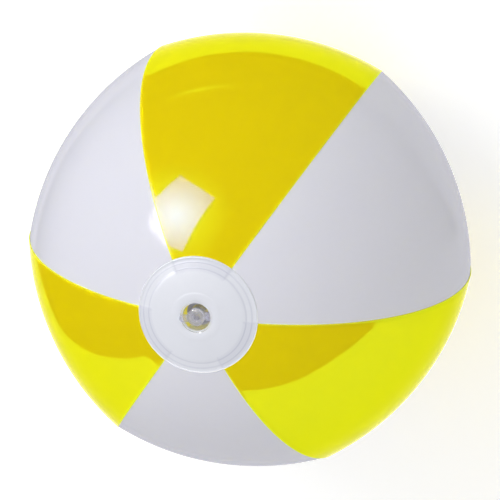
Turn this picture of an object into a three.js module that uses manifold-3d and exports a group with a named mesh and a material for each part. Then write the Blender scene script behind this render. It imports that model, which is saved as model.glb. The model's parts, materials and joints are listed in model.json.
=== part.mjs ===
// An inflated beach ball: six gore panels, a disc at each pole and a push-in air valve in the upper disc.
// Millimetres, +Z up along the ball's polar axis, origin at the middle of the flat that it stands on.
import * as THREE from 'three';
import { mergeVertices } from 'three/addons/utils/BufferGeometryUtils.js';
import Module from 'manifold-3d';

const wasm = await Module();
wasm.setup();

// Ball
const BALL_DIAMETER = 280; // across two opposite seams
const PANEL_PAIRS = 3; // one yellow and one white panel each
const PANEL_DIP = 3.5; // how far a panel's middle lies inside the circle of the seams, at the equator
const FULL_DIP_ANGLE = 45; // degrees from the pole at which a panel has that dip
const FILM = 0.2; // thickness of the panels
const LAP = 5; // width of white film under yellow film along a seam
const WELD_GAP = 0.2; // between two welded films
const SEAM_AZIMUTH = -12; // degrees from the plug's strap round to the nearest seam
const PANEL_ROWS = 18;
const PANEL_COLUMNS = 6;

// Discs at the poles
const DISC_DIAMETER = 73;
const DISC_FILM = 0.3; // thickness of the discs
const DISC_LAP = 6.7; // width of disc over the ends of the panels
const WELD_RIDGE = 0.25; // height of the rings that the weld raises
const WELD_RIDGE_WIDTH = 0.9;
const CONTACT_DIAMETER = 32; // flat that the floor presses into the lower disc
const DISC_SIDES = 48;

// Valve
const STEM_DIAMETER = 10;
const STEM_BORE = 6.2;
const STEM_LENGTH = 12.5;
const STEM_CHAMFER = 0.4;
const MOUTH_DEPTH = 1; // mouth of the stem below the disc round it
const WELL_GAP = 4.6; // from the stem out to the edge of the hole in the disc
const FLANGE_WIDTH = 4.8;
const FLANGE_THICKNESS = 0.8;
const SKIRT_WALL = 0.8;
const SKIRT_STRAIGHT = 4; // upright part of the skirt's wall
const SKIRT_DEPTH = 9; // from the flange down to where the skirt meets the stem
const CLEARANCE = 0.2; // between neighbouring pieces of the valve
const FLAP_OVERLAP = 1.2; // flap beyond the edge of the bore
const FLAP_THICKNESS = 0.6;
const CAP_OVERHANG = 0.2; // plug's cap beyond the stem
const CAP_PROUD = 0.7; // top of the cap above the disc round it
const CAP_BEVEL = 0.3;
const SPIGOT_LENGTH = 3.7;
const SPIGOT_FIT = 0.15; // between the spigot and the bore, at the mouth
const PLUG_WALL = 0.9;
const TAB_OVERHANG = 0.5; // pull tab beyond the edge of the hole in the disc
const TAB_LIFT = 0.3; // pull tab above the disc
const TAB_WIDTH = 4.6;
const TAB_THICKNESS = 0.9;
const STRAP_WIDTH = 4.6;
const STRAP_THICKNESS = 1.1;
const STRAP_SWING_GAP = 0.3; // between the strap's root and the skirt
const LUG_DEPTH = 2.4; // of the lug that carries the strap, at the stem
const VALVE_SIDES = 36;

// Worked out from the dimensions above
const seamRadius = BALL_DIAMETER / 2;
const halfPanel = Math.PI / (2 * PANEL_PAIRS);
const yellowRise = WELD_GAP; // inner face of the yellow film over the outer face of the white film
const discInner = seamRadius + yellowRise + FILM + WELD_GAP;
const discOuter = discInner + DISC_FILM;
const discRadius = DISC_DIAMETER / 2;
const panelEndRadius = discRadius - DISC_LAP;
const contactRadius = CONTACT_DIAMETER / 2;
const stemRadius = STEM_DIAMETER / 2;
const boreRadius = STEM_BORE / 2;
const holeRadius = stemRadius + WELL_GAP;
const flangeRadius = holeRadius + FLANGE_WIDTH;

// Height of a dome over the ball's centre, at a distance from the polar axis
function domeHeight(domeRadius, distance) {
  return Math.sqrt(domeRadius ** 2 - distance ** 2);
}

const centreHeight = domeHeight(discOuter, contactRadius);
const rimHeight = domeHeight(discOuter, holeRadius);

// Heights in the valve, from the disc's outer face at the edge of its hole
const flangeTop = -(DISC_FILM + WELD_GAP);
const mouth = -MOUTH_DEPTH;
const stemFoot = mouth - STEM_LENGTH;
const capFoot = mouth + CLEARANCE;
const skirtInner = holeRadius - CLEARANCE - SKIRT_WALL;
const strapPivot = skirtInner - STRAP_SWING_GAP - STRAP_THICKNESS / 2;
const capRadius = stemRadius + CAP_OVERHANG;

const yellowFilm = { color: 0xe3d118, roughness: 0.22, metalness: 0 };
const whiteFilm = { color: 0xe6e7ee, roughness: 0.25, metalness: 0 };
const discFilm = { color: 0xdfe1ea, roughness: 0.3, metalness: 0 };
const clearVinyl = { color: 0xc9cbd3, roughness: 0.12, metalness: 0 };

// A named piece in its material
function piece(name, geometry, finish) {
  const mesh = new THREE.Mesh(geometry, new THREE.MeshStandardMaterial(finish));
  mesh.name = name;
  return mesh;
}

// A turned piece round +Z from a profile of [distance from the axis, height] points, anticlockwise
function turned(profile, sides) {
  const points = profile.map(([distance, height]) => new THREE.Vector2(distance, height));
  const onAxis = profile[0][0] === 0;
  if (!onAxis) points.push(points[0].clone());
  return new THREE.LatheGeometry(points, sides).rotateX(Math.PI / 2);
}

// A flat outline in the XZ plane, thickened along Y to both sides of it
function slab(outline, width) {
  const geometry = new THREE.ExtrudeGeometry(outline, { depth: width, bevelEnabled: false, curveSegments: 8 });
  return geometry.translate(0, 0, -width / 2).rotateX(Math.PI / 2);
}

// A closed geometry as a solid that can be joined
function toSolid(geometry) {
  const bare = geometry.clone();
  bare.deleteAttribute('normal');
  bare.deleteAttribute('uv');
  const merged = mergeVertices(bare);
  const corners = merged.index.array;
  const triangles = [];
  for (let first = 0; first < corners.length; first += 3) {
    const [a, b, c] = corners.slice(first, first + 3);
    if (a !== b && b !== c && c !== a) triangles.push(a, b, c);
  }
  const vertProperties = new Float32Array(merged.attributes.position.array);
  return new wasm.Manifold(new wasm.Mesh({ numProp: 3, vertProperties, triVerts: new Uint32Array(triangles) }));
}

// Two closed geometries joined into one
function joined(first, second) {
  const mesh = toSolid(first).add(toSolid(second)).getMesh();
  const geometry = new THREE.BufferGeometry();
  geometry.setAttribute('position', new THREE.BufferAttribute(mesh.vertProperties, 3));
  geometry.setIndex(new THREE.BufferAttribute(mesh.triVerts, 1));
  geometry.computeVertexNormals();
  return geometry;
}

// Share of the seam's distance from the axis at which a panel lies, at an angle from the panel's middle.
// The section is an arc from seam to seam, flatter than the circle through the seams.
function sectionShare(angle) {
  const fromMiddle = Math.min(Math.abs(angle), 2 * halfPanel - Math.abs(angle));
  const middle = 1 - PANEL_DIP / seamRadius;
  const sagitta = middle - Math.cos(halfPanel);
  const arcRadius = (Math.sin(halfPanel) ** 2 + sagitta ** 2) / (2 * sagitta);
  const arcCentre = middle - arcRadius;
  return arcCentre * Math.cos(fromMiddle) + Math.sqrt(arcRadius ** 2 - (arcCentre * Math.sin(fromMiddle)) ** 2);
}

// Point of a panel, at an angle from its middle and from the upper pole, and a rise over the seams' sphere
function panelPoint(angle, polar, rise) {
  const rimAngle = Math.asin(discRadius / seamRadius);
  const poleAngle = Math.min(polar, Math.PI - polar);
  const fullness = THREE.MathUtils.smoothstep(poleAngle, rimAngle, FULL_DIP_ANGLE * THREE.MathUtils.DEG2RAD);
  const share = 1 - fullness * (1 - sectionShare(angle));
  const distance = (seamRadius * share + rise) * Math.sin(polar);
  const height = (seamRadius + rise) * Math.cos(polar);
  return new THREE.Vector3(distance * Math.cos(angle), distance * Math.sin(angle), height);
}

// Angle from the upper pole of a row of a panel, counted from the lower end
function rowAngle(row) {
  const endAngle = Math.asin(panelEndRadius / seamRadius);
  const rimAngle = Math.asin(discRadius / seamRadius);
  if (row === 0) return Math.PI - endAngle;
  if (row === PANEL_ROWS + 2) return endAngle;
  return THREE.MathUtils.lerp(Math.PI - rimAngle, rimAngle, (row - 1) / PANEL_ROWS);
}

// Angle from a panel's middle of a column: the first and last strips are the laps at the seams.
// The film ends that many laps past the seam.
function columnAngle(column, polar, lapsPastSeam) {
  const lapAngle = Math.asin(LAP / (seamRadius * Math.sin(polar)));
  const edge = halfPanel + lapAngle * lapsPastSeam;
  if (column === 0) return -edge;
  if (column === PANEL_COLUMNS + 2) return edge;
  return THREE.MathUtils.lerp(lapAngle - edge, edge - lapAngle, (column - 1) / PANEL_COLUMNS);
}

// A gore of film from disc to disc, bent out of a flat box: x runs round the ball, y up it and z out of it
function panelGeometry(innerRise, lapsPastSeam) {
  const columns = PANEL_COLUMNS + 2;
  const rows = PANEL_ROWS + 2;
  const geometry = new THREE.BoxGeometry(1, 1, 1, columns, rows, 1);
  const position = geometry.attributes.position;
  for (let vertex = 0; vertex < position.count; vertex += 1) {
    const column = Math.round((position.getX(vertex) + 0.5) * columns);
    const polar = rowAngle(Math.round((position.getY(vertex) + 0.5) * rows));
    const rise = innerRise + FILM * Math.round(position.getZ(vertex) + 0.5);
    const point = panelPoint(columnAngle(column, polar, lapsPastSeam), polar, rise);
    position.setXYZ(vertex, point.x, point.y, point.z);
  }
  geometry.computeVertexNormals();
  return geometry;
}

// The yellow panels end at the seams, and the white ones reach a lap under them
function addPanels(ball) {
  for (let pair = 0; pair < PANEL_PAIRS; pair += 1) {
    const white = piece(`panel_white_${pair + 1}`, panelGeometry(-FILM, 1), whiteFilm);
    white.rotation.z = SEAM_AZIMUTH * THREE.MathUtils.DEG2RAD + halfPanel * (4 * pair + 1);
    const yellow = piece(`panel_yellow_${pair + 1}`, panelGeometry(yellowRise, 0), yellowFilm);
    yellow.rotation.z = white.rotation.z + 2 * halfPanel;
    ball.add(white, yellow);
  }
}

// Profile of a polar disc with its pole upwards, from an inner edge or from the axis.
// Inside the flat, its faces are level; over the ends of the panels, the weld raises two rings.
function discProfile(innerStations, flatRadius) {
  const faceHeight = (domeRadius, distance) => domeHeight(domeRadius, Math.max(distance, flatRadius));
  const under = [...innerStations, panelEndRadius, discRadius];
  const profile = under.map((distance) => [distance, faceHeight(discInner, distance)]);
  profile.push([discRadius, faceHeight(discOuter, discRadius)]);
  for (const ring of [discRadius - DISC_LAP / 2, panelEndRadius]) {
    for (const step of [1, 0, -1]) {
      const distance = ring + (step * WELD_RIDGE_WIDTH) / 2;
      const crest = step === 0 ? WELD_RIDGE : 0;
      profile.push([distance, faceHeight(discOuter, distance) + crest]);
    }
  }
  for (const distance of [...innerStations].reverse()) {
    profile.push([distance, faceHeight(discOuter, distance)]);
  }
  return profile;
}

function addDiscs(ball) {
  const midway = (flangeRadius + panelEndRadius) / 2;
  const valveDisc = discProfile([holeRadius, flangeRadius, midway], 0);
  ball.add(piece('valve_disc', turned(valveDisc, DISC_SIDES), discFilm));
  const endDisc = discProfile([0, contactRadius, (contactRadius + panelEndRadius) / 2], contactRadius);
  const lower = piece('end_disc', turned(endDisc, DISC_SIDES), discFilm);
  lower.rotation.x = Math.PI;
  ball.add(lower);
}

// Ring welded to the inner face of the disc, round its hole
function addFlange(ball) {
  const top = discInner - WELD_GAP;
  const foot = top - FLANGE_THICKNESS;
  const profile = [
    [holeRadius, domeHeight(foot, holeRadius)],
    [flangeRadius, domeHeight(foot, flangeRadius)],
    [flangeRadius, domeHeight(top, flangeRadius)],
    [holeRadius, domeHeight(top, holeRadius)],
  ];
  ball.add(piece('valve_flange', turned(profile, VALVE_SIDES), clearVinyl));
}

// Bowl of soft wall that carries the stem: upright at the flange, then curving in to the stem
function skirtGeometry() {
  const middle = skirtInner + SKIRT_WALL / 2;
  const foot = stemRadius + CLEARANCE;
  const bend = flangeTop - SKIRT_STRAIGHT;
  const wall = new THREE.CurvePath();
  wall.add(new THREE.LineCurve(new THREE.Vector2(middle, flangeTop), new THREE.Vector2(middle, bend)));
  const drop = SKIRT_DEPTH - SKIRT_STRAIGHT;
  wall.add(new THREE.EllipseCurve(foot, bend, middle - foot, drop, 0, -Math.PI / 2, true));
  const inner = [];
  const outer = [];
  const steps = 10;
  for (let step = 0; step <= steps; step += 1) {
    const point = wall.getPointAt(step / steps);
    const along = wall.getTangentAt(step / steps);
    const across = new THREE.Vector2(along.y, -along.x).multiplyScalar(SKIRT_WALL / 2);
    inner.push([point.x + across.x, point.y + across.y]);
    outer.push([point.x - across.x, point.y - across.y]);
  }
  return turned([...inner, ...outer.reverse()], VALVE_SIDES);
}

// Tube with a lug beside its mouth for the strap
function stemGeometry() {
  const tube = turned([
    [boreRadius, stemFoot],
    [stemRadius - STEM_CHAMFER, stemFoot],
    [stemRadius, stemFoot + STEM_CHAMFER],
    [stemRadius, mouth - STEM_CHAMFER],
    [stemRadius - STEM_CHAMFER, mouth],
    [boreRadius, mouth],
  ], VALVE_SIDES);
  const root = (boreRadius + stemRadius) / 2;
  const tip = strapPivot + STRAP_THICKNESS / 2;
  const outline = new THREE.Shape();
  outline.moveTo(root, mouth);
  outline.lineTo(root, mouth - LUG_DEPTH);
  outline.lineTo(stemRadius, mouth - LUG_DEPTH);
  outline.lineTo(tip, mouth - LUG_DEPTH / 3);
  outline.lineTo(tip, mouth);
  return joined(tube, slab(outline, STRAP_WIDTH));
}

// Disc that closes the lower end of the bore, swinging on the edge at -X
function flapGeometry() {
  const radius = boreRadius + FLAP_OVERLAP;
  const geometry = new THREE.CylinderGeometry(radius, radius, FLAP_THICKNESS, VALVE_SIDES);
  geometry.rotateX(Math.PI / 2);
  return geometry.translate(0, 0, stemFoot - CLEARANCE - FLAP_THICKNESS / 2);
}

// Hollow plug with a cap and a pull tab; its spigot tapers enough to swing out of the bore on the strap
function plugGeometry() {
  const pivotRise = CLEARANCE + STRAP_THICKNESS / 2;
  const tipDrop = SPIGOT_LENGTH - CLEARANCE + pivotRise;
  const arm = strapPivot + boreRadius / 2;
  const swing = Math.sqrt(arm ** 2 + tipDrop ** 2 - pivotRise ** 2) - arm;
  const spigotRadius = boreRadius - SPIGOT_FIT;
  const tipRadius = spigotRadius - swing;
  const tip = capFoot - SPIGOT_LENGTH;
  const body = turned([
    [0, tip],
    [tipRadius, tip],
    [spigotRadius, capFoot],
    [capRadius, capFoot],
    [capRadius, CAP_PROUD - CAP_BEVEL],
    [capRadius - CAP_BEVEL, CAP_PROUD],
    [spigotRadius - PLUG_WALL, CAP_PROUD],
    [tipRadius - PLUG_WALL, tip + PLUG_WALL],
    [0, tip + PLUG_WALL],
  ], VALVE_SIDES);
  const tabEnd = TAB_WIDTH / 2 - (holeRadius + TAB_OVERHANG);
  const outline = new THREE.Shape();
  outline.moveTo(-spigotRadius, -TAB_WIDTH / 2);
  outline.lineTo(-spigotRadius, TAB_WIDTH / 2);
  outline.lineTo(tabEnd, TAB_WIDTH / 2);
  outline.absarc(tabEnd, 0, TAB_WIDTH / 2, Math.PI / 2, (3 * Math.PI) / 2, false);
  const tab = new THREE.ExtrudeGeometry(outline, { depth: TAB_THICKNESS, bevelEnabled: false, curveSegments: 10 });
  return joined(body, tab.translate(0, 0, TAB_LIFT));
}

// Short band from the cap to its hinge on the stem's lug, round at the hinge
function strapGeometry() {
  const top = capFoot + STRAP_THICKNESS;
  const outline = new THREE.Shape();
  outline.moveTo(capRadius + CLEARANCE, top);
  outline.lineTo(capRadius + CLEARANCE, capFoot);
  outline.lineTo(strapPivot, capFoot);
  outline.absarc(strapPivot, (capFoot + top) / 2, STRAP_THICKNESS / 2, -Math.PI / 2, Math.PI / 2, false);
  return slab(outline, STRAP_WIDTH);
}

function addValve(ball) {
  const valve = new THREE.Group();
  valve.position.z = rimHeight;
  valve.add(
    piece('valve_skirt', skirtGeometry(), clearVinyl),
    piece('valve_stem', stemGeometry(), clearVinyl),
    piece('check_flap', flapGeometry(), clearVinyl),
    piece('valve_plug', plugGeometry(), clearVinyl),
    piece('plug_strap', strapGeometry(), clearVinyl),
  );
  ball.add(valve);
}

const ball = new THREE.Group();
ball.position.z = centreHeight;
addPanels(ball);
addDiscs(ball);
addFlange(ball);
addValve(ball);

const beachBall = new THREE.Group();
beachBall.add(ball);

export default beachBall;
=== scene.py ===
"""The looks of an inflated beach ball: film panels, polar discs and the clear air valve, on its frame."""

import json
import math

import bmesh
import bpy
from bpy.props import FloatProperty, FloatVectorProperty, PointerProperty
from mathutils import Matrix, Vector, noise

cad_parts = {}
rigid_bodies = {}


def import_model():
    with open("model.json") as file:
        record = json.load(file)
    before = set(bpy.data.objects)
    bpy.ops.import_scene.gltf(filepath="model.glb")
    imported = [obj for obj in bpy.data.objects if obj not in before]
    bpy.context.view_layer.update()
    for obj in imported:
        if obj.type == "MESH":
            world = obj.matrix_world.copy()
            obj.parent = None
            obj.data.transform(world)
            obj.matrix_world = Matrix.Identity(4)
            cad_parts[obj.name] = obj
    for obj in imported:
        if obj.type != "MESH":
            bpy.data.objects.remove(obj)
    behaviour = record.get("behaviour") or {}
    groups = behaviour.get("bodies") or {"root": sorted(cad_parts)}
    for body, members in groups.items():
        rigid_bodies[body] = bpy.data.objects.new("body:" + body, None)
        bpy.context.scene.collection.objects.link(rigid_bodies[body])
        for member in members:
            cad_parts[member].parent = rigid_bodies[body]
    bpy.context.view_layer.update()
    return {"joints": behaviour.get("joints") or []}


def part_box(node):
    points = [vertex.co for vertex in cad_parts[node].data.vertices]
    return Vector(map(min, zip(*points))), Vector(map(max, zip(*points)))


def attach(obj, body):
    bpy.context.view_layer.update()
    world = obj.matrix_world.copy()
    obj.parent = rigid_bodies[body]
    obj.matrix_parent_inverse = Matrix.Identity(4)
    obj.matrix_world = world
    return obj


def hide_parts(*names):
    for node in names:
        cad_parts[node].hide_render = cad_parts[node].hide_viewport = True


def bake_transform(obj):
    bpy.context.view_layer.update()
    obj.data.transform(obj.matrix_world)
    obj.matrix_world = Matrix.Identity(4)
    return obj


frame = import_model()

bl_info = {
    "name": "Beach Ball",
    "version": (1, 0, 0),
    "blender": (4, 5, 0),
    "location": "View3D > Sidebar > Beach Ball",
    "description": "Builds the visible pieces of an inflated beach ball on its frame",
    "category": "Object",
}

MM = 0.001
PANEL_PAIRS = 3
HALF_PANEL = math.pi / (2 * PANEL_PAIRS)


def linear(code):
    """An sRGB hex code as linear red, green and blue."""
    parts = [int(code[at : at + 2], 16) / 255 for at in (0, 2, 4)]
    return tuple(part / 12.92 if part <= 0.04045 else ((part + 0.055) / 1.055) ** 2.4 for part in parts)


def size_of(name, description, default):
    """A length that a user may change."""
    return FloatProperty(name=name, description=description, default=default, unit="LENGTH", precision=5)


def colour_of(name, description, code):
    """A colour that a user may change, from its sRGB hex code."""
    default = linear(code)
    return FloatVectorProperty(name=name, description=description, subtype="COLOR", size=3, default=default)


# Places and sizes read from the frame
DISC_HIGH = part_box("valve_disc")[1]
FLANGE_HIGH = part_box("valve_flange")[1]
SKIRT_LOW, SKIRT_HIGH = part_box("valve_skirt")
STEM_LOW, STEM_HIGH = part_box("valve_stem")
FLAP_LOW, FLAP_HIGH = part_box("check_flap")
PLUG_LOW, PLUG_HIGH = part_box("valve_plug")
STRAP_LOW, STRAP_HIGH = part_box("plug_strap")
HINGE = next(Vector(joint["pos_m"]) for joint in frame["joints"] if joint["name"] == "plug_hinge")


class BallSizes(bpy.types.PropertyGroup):
    """Sizes of the film panels and discs."""

    seam_radius: size_of("Seam radius", "From the ball's centre to the seams", 140 * MM)
    panel_dip: size_of("Panel dip", "How far a panel's middle lies inside the circle of the seams", 3.5 * MM)
    film: size_of("Film", "Thickness of the panels", 0.2 * MM)
    weld_gap: size_of("Weld gap", "Between two welded films", 0.2 * MM)
    lap: size_of("Lap", "Width of white film under yellow film along a seam", 2.6 * MM)
    bead: size_of("Edge bead", "Height of the bead that the weld leaves along an edge of film", 0.12 * MM)
    bead_width: size_of("Edge bead width", "Width of that bead", 1.0 * MM)
    pucker: size_of("Pucker", "Height of the small waves along a seam", 0.025 * MM)
    slack: size_of("Slack", "Height of the broad unevenness of a panel", 0.1 * MM)
    disc_film: size_of("Disc film", "Thickness of the discs", 0.3 * MM)
    disc_radius: size_of("Disc radius", "From the polar axis to the edge of a disc", DISC_HIGH.x)
    disc_lap: size_of("Disc lap", "Width of disc over the ends of the panels", 6.7 * MM)
    weld_ridge: size_of("Weld ridge", "Height of the rings that the weld raises", 0.05 * MM)
    weld_ridge_width: size_of("Weld ridge width", "Width of those rings", 0.9 * MM)
    contact_radius: size_of("Contact radius", "Flat that the floor presses into the lower disc", 16 * MM)
    hole_radius: size_of("Hole radius", "Hole for the valve in the upper disc", 9.6 * MM)
    seam_azimuth: FloatProperty(
        name="Seam azimuth",
        description="From the plug's strap round to the nearest seam",
        default=math.radians(-12),
        subtype="ANGLE",
    )
    full_dip_angle: FloatProperty(
        name="Full dip angle",
        description="From the pole to where a panel has its full dip",
        default=math.radians(45),
        subtype="ANGLE",
    )


class ValveSizes(bpy.types.PropertyGroup):
    """Sizes of the valve that its frame doesn't give."""

    bore_radius: size_of("Bore radius", "Air passage of the stem", 3.1 * MM)
    stem_radius: size_of("Stem radius", "Outside of the stem's tube", STEM_HIGH.y)
    flange_thickness: size_of("Flange thickness", "Thickness of the ring under the disc", 0.8 * MM)
    skirt_wall: size_of("Skirt wall", "Thickness of the skirt", 0.8 * MM)
    skirt_straight: size_of("Skirt straight", "Upright part of the skirt's wall", 4 * MM)
    lug_depth: size_of("Lug depth", "Depth of the strap's lug at the stem", 2.4 * MM)
    plug_wall: size_of("Plug wall", "Wall of the hollow plug", 0.9 * MM)
    spigot_fit: size_of("Spigot fit", "Between the spigot and the bore at the mouth", 0.15 * MM)
    spigot_taper: size_of("Spigot taper", "How much narrower the spigot is at its tip", 0.9 * MM)
    cap_overhang: size_of("Cap overhang", "Plug's cap beyond the stem", 0.2 * MM)
    tab_lift: size_of("Tab lift", "Pull tab above the disc", 0.3 * MM)
    tab_width: size_of("Tab width", "Width of the pull tab", 4.6 * MM)
    tab_thickness: size_of("Tab thickness", "Thickness of the pull tab", 0.9 * MM)
    clearance: size_of("Clearance", "Between neighbouring pieces of the valve", 0.2 * MM)
    edge_round: size_of("Edge rounding", "Radius on the moulding's edges", 0.25 * MM)


class BallColours(bpy.types.PropertyGroup):
    """Colours of the materials and the floor."""

    yellow: colour_of("Yellow film", "Light that the yellow film sends back", "FFD20D")
    # Painted highlight: the lemon line along the yellow film's free edges stands in for the light that its
    # weld bead catches
    yellow_painted_edge_highlight: colour_of("Yellow film, welded", "Yellow film where a weld has pressed it thin", "FFF04A")
    yellow_through: colour_of("Yellow film, through", "Light that the yellow film lets through", "FFF923")
    yellow_mirror: colour_of("Yellow film, mirrored", "Tint of what the yellow film mirrors", "B4FC31")
    yellow_graze: colour_of("Yellow film, grazed", "That tint at a grazing angle", "F3FFAE")
    white: colour_of("White film", "Light that the white film sends back", "E4E5F5")
    white_through: colour_of("White film, through", "Light that the white film lets through", "E8E8F8")
    white_mirror: colour_of("White film, mirrored", "Tint of what the white film mirrors", "7C7C82")
    disc: colour_of("Disc film", "Light that the milky discs send back", "E2E4EC")
    # Painted shade: this colour darkens a disc's weld rings and the seams beneath it; it also darkens the rim
    # where yellow film lies beneath
    disc_painted_shade_and_underlay: colour_of("Disc film, welded", "Disc film where the weld has pressed it thin", "C9CBD8")
    clear: colour_of("Clear vinyl", "Tint of the valve's thick clear vinyl", "E2E2EC")
    cloudy: colour_of("Cloudy vinyl", "Tint of the skirt's thick, hazy vinyl", "CFCFE6")
    thin_clear: colour_of("Thin clear vinyl", "Tint of the skirt's thin clear vinyl", "FAFAFC")
    floor: colour_of("Floor", "Pale floor that the ball stands on", "F0F0F0")


class BeachBall(bpy.types.PropertyGroup):
    """Everything that a user may change."""

    ball: PointerProperty(type=BallSizes)
    valve: PointerProperty(type=ValveSizes)
    colours: PointerProperty(type=BallColours)


def smoothstep(value, low, high):
    """0 below low, 1 above high and a smooth rise between them."""
    share = min(1.0, max(0.0, (value - low) / (high - low)))
    return share * share * (3 - 2 * share)


def mix(first, second, share):
    """The value at a share of the way from the first to the second."""
    return first + (second - first) * share


# Materials

VINYL_IOR = 1.53
# Soft film for inflatables shows a faint cloudiness and the fine peel of the rollers. The peel is drawn at
# twice its real width, so that it shows at all.
CLOUD_WIDTH = 34 * MM
PEEL_WIDTH = 2.2 * MM
PEEL_DEPTH = 0.01 * MM
# Flow marks of the moulded valve
FLOW_WIDTH = 1.6 * MM
FLOW_DEPTH = 0.04 * MM
YELLOW_MIRROR_SHARE = 0.2  # part of the yellow film's gloss that mirrors
YELLOW_THROUGH_SHARE = 0.45  # part of the light that passes through the yellow film
WHITE_THROUGH_SHARE = 0.12  # and through the white film
WHITE_GLOSS = 0.0065  # part of the light that the white film mirrors where it faces the eye
WHITE_GLOSS_RISE = 5.0  # power with which that part grows towards the rim
EDGE_GLOSS = 0.35  # part of the light that a disc's pressed edge mirrors where it slants most
EDGE_SLANTS = (0.15, 0.45)  # slants between which that part grows


def add_node(tree, kind, inputs=None, **settings):
    """A shader node. Its inputs are set to values or linked to outputs, a node standing for its first one."""
    node = tree.nodes.new(f"ShaderNode{kind}")
    for name, value in settings.items():
        setattr(node, name, value)
    for name, value in (inputs or {}).items():
        if isinstance(value, bpy.types.Node):
            value = value.outputs[0]
        if isinstance(value, bpy.types.NodeSocket):
            tree.links.new(value, node.inputs[name])
        else:
            node.inputs[name].default_value = value
    return node


def new_material(name, draw, *values):
    """A material with the surface that a function draws in its node tree."""
    material = bpy.data.materials.new(name)
    material.use_nodes = True
    tree = material.node_tree
    tree.nodes.clear()
    add_node(tree, "OutputMaterial", {"Surface": draw(tree, *values)})
    return material


def ready_material(draw, *values):
    """The material that bears the name of the function that draws it, made once."""
    return bpy.data.materials.get(draw.__name__) or new_material(draw.__name__, draw, *values)


def rgba(colour):
    """A colour with full alpha."""
    return (*colour, 1.0)


def darker(colour, share):
    """A colour with that share of its light taken away."""
    return tuple(part * (1 - share) for part in colour)


def mottled(tree, where, width, colour, share):
    """A colour that loses up to that share of its light in soft patches of that width."""
    cloud = add_node(tree, "TexNoise", {"Vector": where, "Scale": 1 / width, "Detail": 3.0})
    inputs = {0: cloud, 6: rgba(darker(colour, share)), 7: rgba(colour)}
    return add_node(tree, "Mix", inputs, data_type="RGBA").outputs[2]


def welded(tree, tint, colour):
    """The tint of film, with another colour where its mesh is marked at a weld: painted highlight on the
    yellow film's edge bead, painted shade on a disc's rings and seams, and a disc's darker rim over yellow
    film.
    """
    # The weld attribute holds those shares of painted highlight and painted shade
    weld = add_node(tree, "Attribute", attribute_name="weld").outputs["Fac"]
    inputs = {0: weld, 6: tint, 7: rgba(colour)}
    return add_node(tree, "Mix", inputs, data_type="RGBA").outputs[2]


def roller_peel(tree, where, strength):
    """Normals of film with the fine peel of the rollers."""
    peel = add_node(tree, "TexNoise", {"Vector": where, "Scale": 1 / PEEL_WIDTH, "Detail": 1.0})
    return add_node(tree, "Bump", {"Height": peel, "Strength": strength, "Distance": PEEL_DEPTH})


def calendered_yellow_vinyl(tree, colours):
    """Soft vinyl film, dyed through and rolled to a high gloss: golden, lemon where it mirrors white."""
    where = add_node(tree, "TexCoord").outputs["Object"]
    tint = mottled(tree, where, CLOUD_WIDTH, colours.yellow, share=0.05)
    inputs = {
        # Lemon along the free edges is a painted highlight of the weld bead
        "Base Color": welded(tree, tint, colours.yellow_painted_edge_highlight),
        "Roughness": 0.1,
        "IOR": VINYL_IOR,
        "Specular IOR Level": 0.001,
    }
    dye = add_node(tree, "BsdfPrincipled", inputs)
    inputs = {
        "Base Color": rgba(colours.yellow_mirror),
        "Roughness": 0.05,
        "Metallic": 1.0,
        "Specular Tint": rgba(colours.yellow_graze),
        "Normal": roller_peel(tree, where, strength=0.35),
    }
    mirror = add_node(tree, "BsdfPrincipled", inputs)
    gloss = add_node(tree, "MixShader", {0: YELLOW_MIRROR_SHARE, 1: dye, 2: mirror})
    through = add_node(tree, "BsdfTranslucent", {"Color": rgba(colours.yellow_through)})
    return add_node(tree, "MixShader", {0: YELLOW_THROUGH_SHARE, 1: gloss, 2: through})


def calendered_white_vinyl(tree, colours):
    """Soft vinyl film filled with white pigment: nearly opaque, with a softer gloss than the dyed film."""
    where = add_node(tree, "TexCoord").outputs["Object"]
    tint = mottled(tree, where, CLOUD_WIDTH, colours.white, share=0.03)
    pigment = add_node(tree, "BsdfDiffuse", {"Color": tint})
    through = add_node(tree, "BsdfTranslucent", {"Color": rgba(colours.white_through)})
    body = add_node(tree, "MixShader", {0: WHITE_THROUGH_SHARE, 1: pigment, 2: through})
    slant = add_node(tree, "LayerWeight", {"Blend": 0.5}).outputs["Facing"]
    steep = add_node(tree, "Math", {0: slant, 1: WHITE_GLOSS_RISE}, operation="POWER")
    share = add_node(tree, "Math", {0: steep, 1: WHITE_GLOSS}, operation="ADD", use_clamp=True)
    relief = roller_peel(tree, where, strength=0.25)
    inputs = {"Color": rgba(colours.white_mirror), "Roughness": 0.12, "Normal": relief}
    gloss = add_node(tree, "BsdfGlossy", inputs)
    return add_node(tree, "MixShader", {0: share, 1: body, 2: gloss})


def inner_skin_of_film(tree):
    """The film's inner skin. Light is scattered in the outer skin alone, so this one only lets it pass."""
    return add_node(tree, "BsdfTransparent")


def milky_disc_vinyl(tree, colours):
    """Thicker film with a little white pigment: pale lavender and silky, with painted shade on its weld rings
    and seams and a darker rim over yellow film.
    """
    where = add_node(tree, "TexCoord").outputs["Object"]
    tint = mottled(tree, where, CLOUD_WIDTH / 2, colours.disc, share=0.05)
    inputs = {
        # Painted shade on the weld rings and seams, and the darker rim over yellow film
        "Base Color": welded(tree, tint, colours.disc_painted_shade_and_underlay),
        "Roughness": 0.36,
        "IOR": VINYL_IOR,
        "Specular IOR Level": 0.05,
        "Normal": roller_peel(tree, where, strength=0.3),
    }
    return add_node(tree, "BsdfPrincipled", inputs)


def pressed_disc_edge(tree, colours):
    """The same film where the hot die has pressed its edge: it mirrors the white table as a thin line."""
    slant = add_node(tree, "LayerWeight", {"Blend": 0.5}).outputs["Facing"]
    inputs = {0: slant, 1: EDGE_SLANTS[0], 2: EDGE_SLANTS[1], 3: 0.0, 4: EDGE_GLOSS}
    share = add_node(tree, "MapRange", inputs)
    gloss = add_node(tree, "BsdfGlossy", {"Color": rgba((1, 1, 1)), "Roughness": 0.08})
    return add_node(tree, "MixShader", {0: share, 1: milky_disc_vinyl(tree, colours), 2: gloss})


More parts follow.
